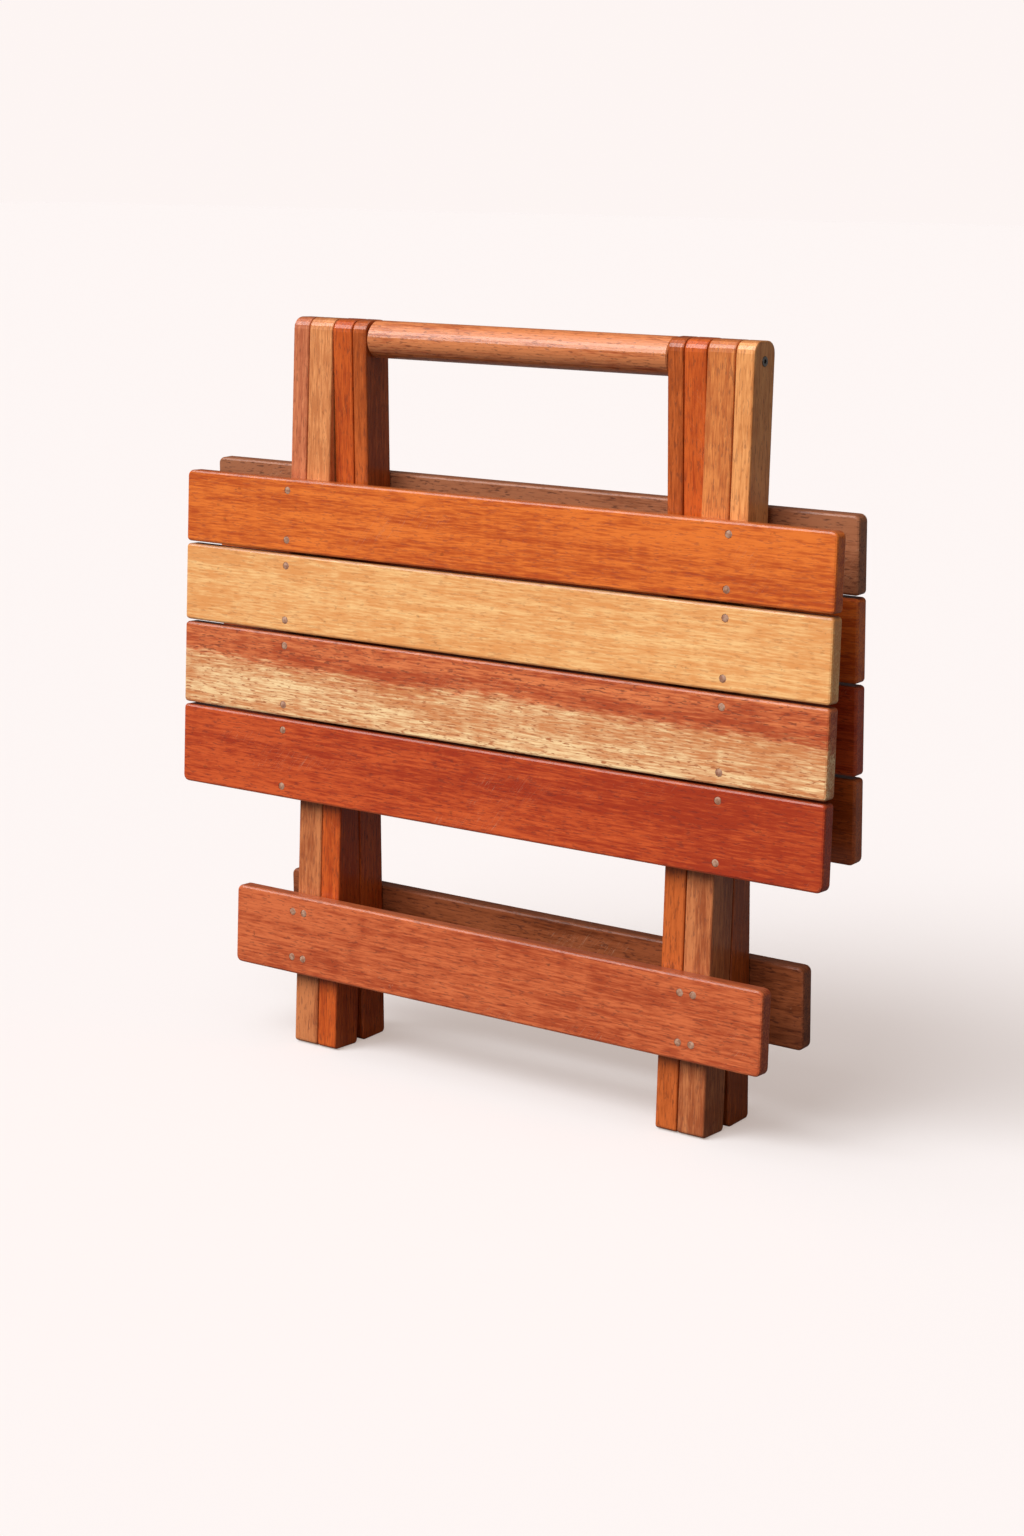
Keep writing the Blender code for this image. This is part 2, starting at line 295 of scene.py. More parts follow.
SPLIT_WAVE = Noise(5.0, 60.0, detail=4.0, roughness=0.6)
SPLIT_FRAY = Noise(70.0, 600.0, detail=3.0, roughness=0.6)
STEEL_STAIN = Noise(300.0, 300.0, detail=4.0, roughness=0.6)
FILLER_MOTTLE = Noise(420.0, 420.0, detail=4.0, roughness=0.6)

NOISE_MIDDLE = 0.5
BROAD_SHARE = 0.35
FIBRE_SHARE = 0.45
CROSS_SHARE = 0.10
TONE_RANGE = (0.52, 0.74)
PORE_RANGE = (0.56, 0.68)
VARNISH_ROUGHNESS = 0.24
STREAK_ROUGHNESS = 0.16
PORE_ROUGHNESS = 0.12
FIBRE_HEIGHT = 0.5
PORE_DEPTH = 0.9

SCUFF_PATCH_RANGE = (0.55, 0.75)
SCUFF_SPECK_RANGE = (0.62, 0.74)
SCRATCH_TURN = (0.35, 0.9, 0.25)
SCRATCH_WIDTH = (0.002, 0.010)
SCRATCHED_RANGE = (0.58, 0.68)
GRIME_RANGE = (0.69, 0.76)
GRIME_COLOUR = (0.07, 0.025, 0.012)
DENT_RANGE = (0.30, 0.42)
MARK_SHARE = 0.55
MARK_ROUGHNESS = 0.25
MARK_DEPTH = 0.5
DENT_HEIGHT = 0.8

# Painted shade: width and fade of the darker band along each piece's lower and upper edge.
EDGE_SHADE_WIDTH = 0.0022
EDGE_SHADE_RANGE = (0.2, 1.0)


def build_grain_group() -> bpy.types.NodeTree:
    """Wood figure with its fibres along X: broad tone, streaks, fine fibres and pores.

    Returns:
        The node group.
    """
    tree, sheet, given, result = new_group(
        "wood_grain",
        {"Vector": Socket.VECTOR, "Dark": Socket.COLOUR, "Light": Socket.COLOUR,
         "Pore Colour": Socket.COLOUR, "Streaks": Socket.NUMBER, "Pores": Socket.NUMBER},
        {"Color": Socket.COLOUR, "Roughness": Socket.NUMBER, "Height": Socket.NUMBER},
    )
    vector = given.outputs["Vector"]
    streaks = sheet.noise(vector, STREAKS)
    fibres = sheet.noise(vector, FIBRES)
    pores = sheet.between(sheet.noise(vector, FLECKS), *PORE_RANGE)
    tone = sheet.weighted([
        (sheet.noise(vector, BROAD_TONE), BROAD_SHARE),
        (streaks, given.outputs["Streaks"]),
        (fibres, FIBRE_SHARE),
        (sheet.noise(vector, CROSS_FIGURE), CROSS_SHARE),
    ])
    colour = sheet.blend(sheet.between(tone, *TONE_RANGE), given.outputs["Dark"],
                         given.outputs["Light"])
    pore_share = sheet.times(pores, given.outputs["Pores"])
    colour = sheet.blend(pore_share, colour, given.outputs["Pore Colour"])
    sheet.join(colour, result.inputs["Color"])
    rough = sheet.maths("MULTIPLY_ADD", streaks, STREAK_ROUGHNESS, VARNISH_ROUGHNESS)
    rough = sheet.plus(rough, sheet.times(pores, PORE_ROUGHNESS))
    sheet.join(rough, result.inputs["Roughness"])
    height = sheet.minus(sheet.times(fibres, FIBRE_HEIGHT), sheet.times(pore_share, PORE_DEPTH))
    sheet.join(height, result.inputs["Height"])
    return tree


def build_wear_group() -> bpy.types.NodeTree:
    """Use: pale scuffs, thin scratches, dark specks and shallow dents in the varnish.

    Returns:
        The node group.
    """
    tree, sheet, given, result = new_group(
        "varnish_wear",
        {"Vector": Socket.VECTOR, "Color": Socket.COLOUR, "Roughness": Socket.NUMBER,
         "Height": Socket.NUMBER, "Scuff Colour": Socket.COLOUR, "Amount": Socket.NUMBER},
        {"Color": Socket.COLOUR, "Roughness": Socket.NUMBER, "Height": Socket.NUMBER},
    )
    vector = given.outputs["Vector"]
    amount = given.outputs["Amount"]
    patches = sheet.between(sheet.noise(vector, SCUFF_PATCHES), *SCUFF_PATCH_RANGE)
    specks = sheet.between(sheet.noise(vector, SCUFF_SPECKS), *SCUFF_SPECK_RANGE)
    scuffs = sheet.times(sheet.times(patches, specks), amount)
    slanted = sheet.add("ShaderNodeMapping")
    sheet.join(vector, slanted.inputs["Vector"])
    slanted.inputs["Rotation"].default_value = SCRATCH_TURN
    lines = sheet.noise(slanted.outputs["Vector"], SCRATCH_LINES)
    near = sheet.maths("ABSOLUTE", sheet.minus(lines, NOISE_MIDDLE))
    thin = sheet.minus(1.0, sheet.between(near, *SCRATCH_WIDTH))
    where = sheet.between(sheet.noise(vector, SCRATCHED_PATCHES), *SCRATCHED_RANGE)
    scratches = sheet.times(sheet.times(thin, where), amount)
    marks = sheet.maths("MAXIMUM", scuffs, scratches)
    grime = sheet.between(sheet.noise(vector, GRIME_SPECKS), *GRIME_RANGE)
    grime = sheet.times(grime, amount)
    colour = sheet.blend(sheet.times(marks, MARK_SHARE), given.outputs["Color"],
                         given.outputs["Scuff Colour"])
    colour = sheet.blend(sheet.times(grime, MARK_SHARE), colour, GRIME_COLOUR)
    sheet.join(colour, result.inputs["Color"])
    rough = sheet.plus(given.outputs["Roughness"], sheet.times(marks, MARK_ROUGHNESS))
    sheet.join(rough, result.inputs["Roughness"])
    level = sheet.between(sheet.noise(vector, DENTS), *DENT_RANGE)
    height = sheet.plus(given.outputs["Height"], sheet.times(level, DENT_HEIGHT))
    height = sheet.minus(height, sheet.times(marks, MARK_DEPTH))
    sheet.join(height, result.inputs["Height"])
    return tree


def build_edge_shade_group() -> bpy.types.NodeTree:
    """Mask of a band along the lower and upper edge of a piece, where shade is painted in darker.

    Returns:
        The node group.
    """
    tree, sheet, given, result = new_group(
        "painted_edge_shade",
        {"Vector": Socket.VECTOR, "Low": Socket.NUMBER, "High": Socket.NUMBER,
         "Width": Socket.NUMBER},
        {"Mask": Socket.NUMBER},
    )
    split = sheet.add("ShaderNodeSeparateXYZ")
    sheet.join(given.outputs["Vector"], split.inputs[0])
    above = sheet.minus(split.outputs["Z"], given.outputs["Low"])
    below = sheet.minus(given.outputs["High"], split.outputs["Z"])
    distance = sheet.maths("MINIMUM", above, below)
    ragged = sheet.noise(given.outputs["Vector"], EDGE_RAGGEDNESS)
    reach = sheet.times(ragged, sheet.times(given.outputs["Width"], 2.0))
    share = sheet.maths("DIVIDE", distance, reach)
    sheet.join(sheet.minus(1.0, sheet.between(share, *EDGE_SHADE_RANGE)), result.inputs["Mask"])
    return tree


# --- Finishes ----------------------------------------------------------------------------

FIGURE_SHIFT = Vector((1.37, 0.71, 0.43))
COAT_ROUGHNESS = 0.14
WOOD_SPECULAR = 0.28
WOOD_BUMP = (0.35, 0.0003)
FILLER_BUMP = (0.4, 0.0002)
SPLIT_WAVE_HEIGHT = 0.045
SPLIT_FRAY_HEIGHT = 0.040
SPLIT_FADE = (-0.007, 0.009)


@dataclass(frozen=True)
class SharedEffects:
    """The node groups that every wooden piece uses."""

    grain: bpy.types.NodeTree
    wear: bpy.types.NodeTree
    edges: bpy.types.NodeTree

    @classmethod
    def build(cls) -> "SharedEffects":
        """Build each group once."""
        return cls(build_grain_group(), build_wear_group(), build_edge_shade_group())


@dataclass(frozen=True)
class WoodFinish:
    """Varnished hardwood of one piece.

    Args:
        dark: Its darker tone.
        light: Its lighter tone.
        pore: Colour of its pores.
        streaks: Weight of the long streaks.
        pores: How strongly the pores show.
        scuff: Colour of scuffs.
        wear: Amount of scuffs, scratches and grime.
        gloss: Weight of the varnish coat.
        edge_shade_share: How much painted shade shows along the lower and upper edges.
        edge_shade_colour: Colour of the painted shade along those edges.
        lower: Another wood below the split, a darker copy of the wood that paints shade there, or
            none.
        split_height: Place of the split as a share of the piece's height.
    """

    dark: Colour
    light: Colour
    pore: Colour
    streaks: float = 0.35
    pores: float = 0.5
    scuff: Colour = (0.62, 0.36, 0.22)
    wear: float = 0.5
    gloss: float = 0.30
    # Painted shade: how strongly and in what colour the lower and upper edges are darkened.
    edge_shade_share: float = 0.45
    edge_shade_colour: Colour = (0.20, 0.06, 0.025)
    lower: "WoodFinish | None" = None
    split_height: float = 0.5


@dataclass
class FinishShop:
    """Makes the material of each piece from its finish.

    Args:
        effects: The shared node groups.
        count: How many woods were made, which shifts the figure of the next one.
    """

    effects: SharedEffects
    count: int = 0

    def start(self, name: str) -> tuple[bpy.types.Material, NodeSheet, bpy.types.Node,
                                        bpy.types.NodeSocket]:
        """Start a material.

        Args:
            name: The material's name.

        Returns:
            The material, its sheet, its shader and the piece's own coordinates.
        """
        mat = bpy.data.materials.new(name)
        mat.use_nodes = True
        sheet = NodeSheet(mat.node_tree)
        place = sheet.add("ShaderNodeTexCoord").outputs["Object"]
        return mat, sheet, mat.node_tree.nodes["Principled BSDF"], place

    def emboss(self, sheet: NodeSheet, shader: bpy.types.Node, height: bpy.types.NodeSocket,
               bump: tuple[float, float]) -> None:
        """Raise and sink a surface.

        Args:
            sheet: The material's sheet.
            shader: Its shader.
            height: The relief.
            bump: The relief's strength and its height in metres.
        """
        node = sheet.add("ShaderNodeBump")
        node.inputs["Strength"].default_value, node.inputs["Distance"].default_value = bump
        sheet.join(height, node.inputs["Height"])
        sheet.join(node.outputs["Normal"], shader.inputs["Normal"])

    def figure(self, sheet: NodeSheet, vector: bpy.types.NodeSocket, finish: WoodFinish
               ) -> bpy.types.Node:
        """Place the grain group with a finish's values.

        Args:
            sheet: The material's sheet.
            vector: Coordinates with the fibres along X.
            finish: The wood.

        Returns:
            The group node.
        """
        node = sheet.add("ShaderNodeGroup", node_tree=self.effects.grain)
        sheet.join(vector, node.inputs["Vector"])
        node.inputs["Dark"].default_value = opaque(finish.dark)
        node.inputs["Light"].default_value = opaque(finish.light)
        node.inputs["Pore Colour"].default_value = opaque(finish.pore)
        node.inputs["Streaks"].default_value = finish.streaks
        node.inputs["Pores"].default_value = finish.pores
        return node

    def fibre_coordinates(self, sheet: NodeSheet, place: bpy.types.NodeSocket, grain: Grain
                          ) -> bpy.types.NodeSocket:
        """Coordinates with the fibres along X, in a stretch of wood that no other piece uses.

        Args:
            sheet: The material's sheet.
            place: The piece's own coordinates.
            grain: The way its fibres run.

        Returns:
            The coordinates.
        """
        shifted = sheet.add("ShaderNodeMapping")
        sheet.join(place, shifted.inputs["Vector"])
        shifted.inputs["Location"].default_value = FIGURE_SHIFT * self.count
        if grain is Grain.ALONG_X:
            return shifted.outputs["Vector"]
        turned = sheet.add("ShaderNodeMapping")
        turned.inputs["Rotation"].default_value = (0.0, math.radians(90.0), 0.0)
        sheet.join(shifted.outputs["Vector"], turned.inputs["Vector"])
        return turned.outputs["Vector"]

    def shade_edges(self, sheet: NodeSheet, place: bpy.types.NodeSocket, finish: WoodFinish,
                  colour: bpy.types.NodeSocket, low: Vector, high: Vector
                  ) -> bpy.types.NodeSocket:
        """Paint shade along the lower and upper edge of a piece.

        Args:
            sheet: The material's sheet.
            place: The piece's own coordinates.
            finish: The wood.
            colour: Its colour so far.
            low: Lowest corner of the piece.
            high: Highest corner of the piece.

        Returns:
            The colour with its painted edge shade.
        """
        # Painted shade: darken a ragged band along the lower and upper edge.
        edge_shading = sheet.add("ShaderNodeGroup", node_tree=self.effects.edges)
        sheet.join(place, edge_shading.inputs["Vector"])
        edge_shading.inputs["Low"].default_value = low.z
        edge_shading.inputs["High"].default_value = high.z
        edge_shading.inputs["Width"].default_value = EDGE_SHADE_WIDTH
        edge = sheet.times(edge_shading.outputs["Mask"], finish.edge_shade_share)
        return sheet.blend(edge, colour, finish.edge_shade_colour)

    def wood(self, name: str, finish: WoodFinish, grain: Grain, low: Vector, high: Vector
             ) -> bpy.types.Material:
        """Wood for one piece, with its own stretch of figure.

        Args:
            name: The material's name.
            finish: The wood.
            grain: The way its fibres run.
            low: Lowest corner of the piece.
            high: Highest corner of the piece.

        Returns:
            The material.
        """
        self.count += 1
        mat, sheet, shader, place = self.start(name)
        vector = self.fibre_coordinates(sheet, place, grain)
        figure = self.figure(sheet, vector, finish)
        colour = figure.outputs["Color"]
        if finish.lower is not None:
            colour = self.two_tone_and_painted_shade(sheet, place, vector, finish, colour, low, high)
        worn = sheet.add("ShaderNodeGroup", node_tree=self.effects.wear)
        sheet.join(vector, worn.inputs["Vector"])
        # The colour gets painted shade along its lower and upper edges here.
        sheet.join(self.shade_edges(sheet, place, finish, colour, low, high), worn.inputs["Color"])
        sheet.join(figure.outputs["Roughness"], worn.inputs["Roughness"])
        sheet.join(figure.outputs["Height"], worn.inputs["Height"])
        worn.inputs["Scuff Colour"].default_value = opaque(finish.scuff)
        worn.inputs["Amount"].default_value = finish.wear
        sheet.join(worn.outputs["Color"], shader.inputs["Base Color"])
        sheet.join(worn.outputs["Roughness"], shader.inputs["Roughness"])
        self.emboss(sheet, shader, worn.outputs["Height"], WOOD_BUMP)
        shader.inputs["Coat Weight"].default_value = finish.gloss
        shader.inputs["Coat Roughness"].default_value = COAT_ROUGHNESS
        shader.inputs["Specular IOR Level"].default_value = WOOD_SPECULAR
        return mat

    def two_tone_and_painted_shade(self, sheet: NodeSheet, place: bpy.types.NodeSocket,
                 vector: bpy.types.NodeSocket, finish: WoodFinish,
                 upper: bpy.types.NodeSocket, low: Vector, high: Vector
                 ) -> bpy.types.NodeSocket:
        """Fade a board from its upper wood to its lower one along a frayed, wavy line; where the
        lower one is a darker copy of the upper, it paints shade on the lower part.

        Args:
            sheet: The material's sheet.
            place: The piece's own coordinates.
            vector: Coordinates with the fibres along X.
            finish: The upper wood, which names the lower one.
            upper: Colour of the upper wood.
            low: Lowest corner of the piece.
            high: Highest corner of the piece.

        Returns:
            The mixed colour.
        """
        lower = self.figure(sheet, vector, finish.lower)
        split = sheet.add("ShaderNodeSeparateXYZ")
        sheet.join(place, split.inputs[0])
        line = low.z + finish.split_height * (high.z - low.z)
        wave = sheet.minus(sheet.noise(vector, SPLIT_WAVE), NOISE_MIDDLE)
        fray = sheet.minus(sheet.noise(vector, SPLIT_FRAY), NOISE_MIDDLE)
        shift = sheet.weighted([(wave, SPLIT_WAVE_HEIGHT), (fray, SPLIT_FRAY_HEIGHT)])
        height = sheet.plus(split.outputs["Z"], shift)
        share = sheet.between(height, line + SPLIT_FADE[0], line + SPLIT_FADE[1])
        return sheet.blend(share, lower.outputs["Color"], upper)

    def steel(self, name: str) -> bpy.types.Material:
        """Dull, unevenly stained steel."""
        mat, sheet, shader, place = self.start(name)
        stain = sheet.noise(place, STEEL_STAIN)
        colour = sheet.blend(stain, (0.20, 0.18, 0.16), (0.62, 0.60, 0.57))
        sheet.join(colour, shader.inputs["Base Color"])
        sheet.join(sheet.maths("MULTIPLY_ADD", stain, 0.3, 0.25), shader.inputs["Roughness"])
        shader.inputs["Metallic"].default_value = 1.0
        return mat

    def filler(self, name: str) -> bpy.types.Material:
        """Pale wood filler, stained unevenly."""
        mat, sheet, shader, place = self.start(name)
        mottle = sheet.noise(place, FILLER_MOTTLE)
        colour = sheet.blend(sheet.between(mottle, 0.35, 0.65), (0.30, 0.12, 0.065),
                             (0.52, 0.30, 0.20))
        sheet.join(colour, shader.inputs["Base Color"])
        sheet.join(sheet.maths("MULTIPLY_ADD", mottle, 0.3, 0.4), shader.inputs["Roughness"])
        self.emboss(sheet, shader, mottle, FILLER_BUMP)
        return mat


ORANGE = WoodFinish((0.50, 0.075, 0.012), (0.84, 0.20, 0.030), pore=(0.30, 0.05, 0.02), pores=0.4)
GOLDEN = WoodFinish((0.82, 0.34, 0.105), (1.0, 0.60, 0.25), pore=(0.50, 0.19, 0.06),
                    streaks=0.30, pores=0.4, edge_shade_share=0.6)
STRAW = WoodFinish((0.66, 0.24, 0.085), (1.0, 0.72, 0.38), pore=(0.50, 0.17, 0.06),
                   streaks=0.30, pores=1.0)
RED_AND_STRAW = WoodFinish((0.44, 0.070, 0.022), (0.78, 0.22, 0.075), pore=(0.24, 0.05, 0.02),
                           pores=0.8, lower=STRAW, split_height=0.58)
DEEP_RED = WoodFinish((0.38, 0.036, 0.010), (0.66, 0.105, 0.024), pore=(0.18, 0.02, 0.01))
BAR_RED = WoodFinish((0.40, 0.060, 0.018), (0.70, 0.165, 0.055), pore=(0.16, 0.03, 0.015), wear=0.9)
PALE_TAN = WoodFinish((0.66, 0.23, 0.065), (0.94, 0.41, 0.14), pore=(0.30, 0.10, 0.04), pores=0.45)
# Painted shade: the front legs turn into this darker tan below 0.54 of their height, standing in
# for the shade on their lower part.
PAINTED_SHADE_TAN = WoodFinish((0.36, 0.085, 0.026), (0.64, 0.215, 0.075), pore=(0.2, 0.06, 0.03))
# The front legs' woods; below the split they take the painted shade above.
HONEY = WoodFinish((0.60, 0.20, 0.065), (0.92, 0.38, 0.14), pore=(0.30, 0.10, 0.04),
                   pores=0.45, lower=PAINTED_SHADE_TAN, split_height=0.54)
TAN = WoodFinish((0.52, 0.135, 0.034), (0.82, 0.28, 0.075), pore=(0.26, 0.08, 0.03),
                 lower=PAINTED_SHADE_TAN, split_height=0.54)
RUSSET = WoodFinish((0.46, 0.115, 0.048), (0.72, 0.235, 0.10), pore=(0.2, 0.05, 0.02))
RED_ORANGE = WoodFinish((0.42, 0.055, 0.008), (0.68, 0.125, 0.018), pore=(0.16, 0.03, 0.01))
BROWN_ORANGE = WoodFinish((0.36, 0.065, 0.010), (0.62, 0.135, 0.026), pore=(0.15, 0.03, 0.01))
DARK_BROWN = WoodFinish((0.17, 0.038, 0.012), (0.38, 0.105, 0.038), pore=(0.09, 0.02, 0.01),
                        streaks=0.45, pores=0.7, wear=0.9, gloss=0.1)
BARE_BROWN = WoodFinish((0.18, 0.050, 0.020), (0.40, 0.15, 0.070), pore=(0.10, 0.03, 0.015),
                        streaks=0.45, pores=0.7, wear=0.9, gloss=0.1)
HAND_WORN_TAN = WoodFinish((0.36, 0.062, 0.014), (0.68, 0.225, 0.080), pore=(0.2, 0.05, 0.02),
                           streaks=0.45, pores=0.6, wear=0.8, gloss=0.5, edge_shade_share=0.0)


# --- Geometry ----------------------------------------------------------------------------

THIRD_LOBE = 0.6


@dataclass(frozen=True)
class HangingFrame:
    """The leaning frame that one tray or leg frame is laid out in.

    Args:
        facing: The side that it leans to.
        pivot: Height of the pivot line.
        lean: Angle from the vertical, in radians.
        post_depth: Depth of its posts.
        seat_gap: Gap between the posts and the boards on them.
        board_thickness: Thickness of the boards.
    """

    facing: Facing
    pivot: float
    lean: float = math.radians(1.8)
    post_depth: float = 0.028
    seat_gap: float = 0.0003
    board_thickness: float = 0.0125

    def placement(self) -> Matrix:
        """World placement of the frame's own coordinates."""
        turn = Matrix.Rotation(self.facing.value * self.lean, 4, "X")
        return Matrix.Translation((0.0, 0.0, self.pivot)) @ turn

    def outer_face(self) -> float:
        """Distance of the boards' outer face from the frame's middle plane."""
        return self.post_depth / 2 + self.seat_gap + self.board_thickness

    def inwards(self, x: float, z: float) -> Matrix:
        """Placement of a turned piece that enters through the boards' outer face.

        Args:
            x: Place along the handle.
            z: Height in the frame, from the pivot line.

        Returns:
            The placement, with the piece's axis pointing inwards.
        """
        turn = Matrix.Rotation(math.radians(90.0) * self.facing.value, 4, "X")
        spot = Matrix.Translation((x, self.facing.value * self.outer_face(), z))
        return self.placement() @ spot @ turn


def add_turned(mesh: bmesh.types.BMesh, profile: list[tuple[float, float]], segments: int,
               place: Matrix, unevenness: float = 0.0, phase: float = 0.0) -> None:
    """Add a turned solid, which may be a little out of round.

    Args:
        mesh: The mesh that it is added to.
        profile: (radius, distance) points, on the axis at both ends.
        segments: Facets round it.
        place: Its placement.
        unevenness: Share by which its radius changes.
        phase: Turns the unevenness.
    """
    rings = []
    for radius, distance in profile:
        if radius == 0:
            rings.append([mesh.verts.new(place @ Vector((0.0, 0.0, distance)))])
            continue
        ring = []
        for step in range(segments):
            angle = 2 * math.pi * step / segments
            lobes = math.sin(2 * angle + phase) + THIRD_LOBE * math.sin(3 * angle + 2 * phase)
            reach = radius * (1 - unevenness + unevenness * lobes / (1 + THIRD_LOBE))
            spot = Vector((reach * math.cos(angle), reach * math.sin(angle), distance))
            ring.append(mesh.verts.new(place @ spot))
        rings.append(ring)
    for ring, following in zip(rings, rings[1:]):
        for step in range(segments):
            after = (step + 1) % segments
            corners = [ring[step % len(ring)], ring[after % len(ring)]]
            corners += [following[after % len(following)], following[step % len(following)]]
            mesh.faces.new(list(dict.fromkeys(corners)))


def finish_mesh(name: str, mesh: bmesh.types.BMesh, mat: bpy.types.Material, body: str
                ) -> bpy.types.Object:
    """Make a piece from a mesh and let it ride on its body.

    Args:
        name: The piece's name.
        mesh: Its mesh, which is freed.
        mat: Its material.
        body: The body that carries it.

    Returns:
        The piece.
    """
    bmesh.ops.recalc_face_normals(mesh, faces=mesh.faces)
    data = bpy.data.meshes.new(name)
    mesh.to_mesh(data)
    mesh.free()
    data.materials.append(mat)
    data.shade_smooth()
    data.set_sharp_from_angle(angle=SHARP_ANGLE)
    obj = bpy.data.objects.new(name, data)
    bpy.context.scene.collection.objects.link(obj)
    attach(obj, body)
    LOG.info("%s rides on %s", name, body)
    return obj


@dataclass
class Fastening:
    """The screws and filler plugs in the outer face of boards.

    Args:
        plug_radius: Nominal radius of a plug.
        plug_length: Length of a plug.
        plug_recess: Depth of a plug's face below the board's.
        rim_depth: How far a plug's rim lies below its face.
        crown: Share of its radius over which a plug is flat.
        seat_gap: Gap between the hole and a plug of nominal radius.
        gap_filled: Share of that gap which the filler takes up.
        head_radius: Radius of a screw's head.
        head_length: Height of the head.
        shank_radius: Radius of the shank.
        screw_length: Whole length of a screw.
        segments: Facets round a plug or screw.
        unevenness: Share by which a plug is out of round.
        phase_step: Turn of that unevenness from one plug to the next.
    """

    plug_radius: float = 0.0028
    plug_length: float = 0.003
    plug_recess: float = 0.00005
    rim_depth: float = 0.0002
    crown: float = 0.86
    seat_gap: float = 0.0003
    gap_filled: float = 0.9
    head_radius: float = 0.0027
    head_length: float = 0.0022
    shank_radius: float = 0.0015
    screw_length: float = 0.022
    segments: int = 14
    unevenness: float = 0.07
    phase_step: float = 1.3

    def plug_profile(self) -> list[tuple[float, float]]:
        """Filler plug with a slightly sunken rim, by depth below the face."""
        rim = self.plug_recess + self.rim_depth
        end = self.plug_recess + self.plug_length
        full = self.plug_radius + self.seat_gap * self.gap_filled
        return [(0.0, self.plug_recess), (full * self.crown, self.plug_recess), (full, rim),
                (full, end), (0.0, end)]

    def screw_profile(self) -> list[tuple[float, float]]:
        """Countersunk screw below its plug."""
        head = self.plug_recess + self.plug_length + self.seat_gap
        tip = head + self.screw_length
        return [(0.0, head), (self.head_radius, head),
                (self.shank_radius, head + self.head_length),
                (self.shank_radius, tip - self.shank_radius), (0.0, tip)]

    def plugs(self, name: str, spots: list[Matrix], body: str, shop: FinishShop) -> None:
        """Make a group of filler plugs.

        Args:
            name: The group's name.
            spots: Placement of each plug.
            body: The body that carries them.
            shop: Makes their material.
        """
        mesh = bmesh.new()
        for number, place in enumerate(spots):
            add_turned(mesh, self.plug_profile(), self.segments, place, self.unevenness,
                       number * self.phase_step)
        finish_mesh(name, mesh, shop.filler(name), body)

    def screws(self, name: str, spots: list[Matrix], body: str, shop: FinishShop) -> None:
        """Make a group of screws.

        Args:
            name: The group's name.
            spots: Placement of each screw.
            body: The body that carries them.
            shop: Makes their material.
        """
        mesh = bmesh.new()
        for place in spots:
            add_turned(mesh, self.screw_profile(), self.segments, place)
        finish_mesh(name, mesh, shop.steel(name), body)


def middle_x(node: str) -> float:
    """X of the middle of a frame node."""
    low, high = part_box(node)
    return (low.x + high.x) / 2


def dress(frame: dict, node: str, mat: bpy.types.Material) -> None:
    """Give a frame node its material in every slot.

    Args:
        frame: The loaded frame.
        node: The node's name.
        mat: Its material.
    """
    for slot in frame["nodes"][node].material_slots:
        slot.material = mat
    LOG.info("%s is dressed", node)


@dataclass
class Tray:
    """One slatted tray on its two battens.

    Args:
        name: The side that it is on.
        facing: The side that it leans to.
        finishes: Wood of each slat, from the top one down.
        batten_finishes: Wood of each batten.
        top_drop: Depth of its top edge below the pivot line.
        slat_heights: Height of each slat, from the top one down.
        slat_spacing: Gap between slats.
        screw_from_edge: Distance of the plugs from a slat's edges.
    """

    name: str
    facing: Facing
    finishes: tuple[WoodFinish, ...]
    batten_finishes: dict[str, WoodFinish]
    top_drop: float
    slat_heights: tuple[float, ...] = (0.0565, 0.0605, 0.0645, 0.0625)
    slat_spacing: float = 0.002
    screw_from_edge: float = 0.009

    def slat_spans(self) -> list[tuple[float, float]]:
        """Low and high edge of each slat in the hanging frame."""
        spans = []
        high = -self.top_drop
        for height in self.slat_heights:
            spans.append((high - height, high))
            high -= height + self.slat_spacing
        return spans

    def plug_spots(self, pivot: float) -> list[Matrix]:
        """Placement of each filler plug.

        Args:
            pivot: Height of the pivot line.

        Returns:
            One placement a plug.
        """
        hanging = HangingFrame(self.facing, pivot)
        spots = []
        for low, high in self.slat_spans():
            for side in SIDES:
                x = middle_x(f"{self.name}_tray_batten_{side}")
                for z in (high - self.screw_from_edge, low + self.screw_from_edge):
                    spots.append(hanging.inwards(x, z))
        return spots

    def build(self, frame: dict, shop: FinishShop, fastening: Fastening, pivot: float) -> None:
        """Dress the slats, battens and screws, and plug the screw holes.

        Args:
            frame: The loaded frame.
            shop: Makes the materials.
            fastening: Makes the plugs.
            pivot: Height of the pivot line.
        """
        for number, finish in enumerate(self.finishes):
            node = f"{self.name}_tray_slat_{number + 1}"
            dress(frame, node, shop.wood(node, finish, Grain.ALONG_X, *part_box(node)))
        for side, finish in self.batten_finishes.items():
            node = f"{self.name}_tray_batten_{side}"
            dress(frame, node, shop.wood(node, finish, Grain.ALONG_Z, *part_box(node)))
        steel = shop.steel(f"{self.name}_tray_screw_steel")
        for node in frame["nodes"]:
            if node.startswith(f"{self.name}_tray_screw_"):
                dress(frame, node, steel)
        body = f"{self.name}_tray"
        fastening.plugs(f"{body}_screw_plugs", self.plug_spots(pivot), body, shop)


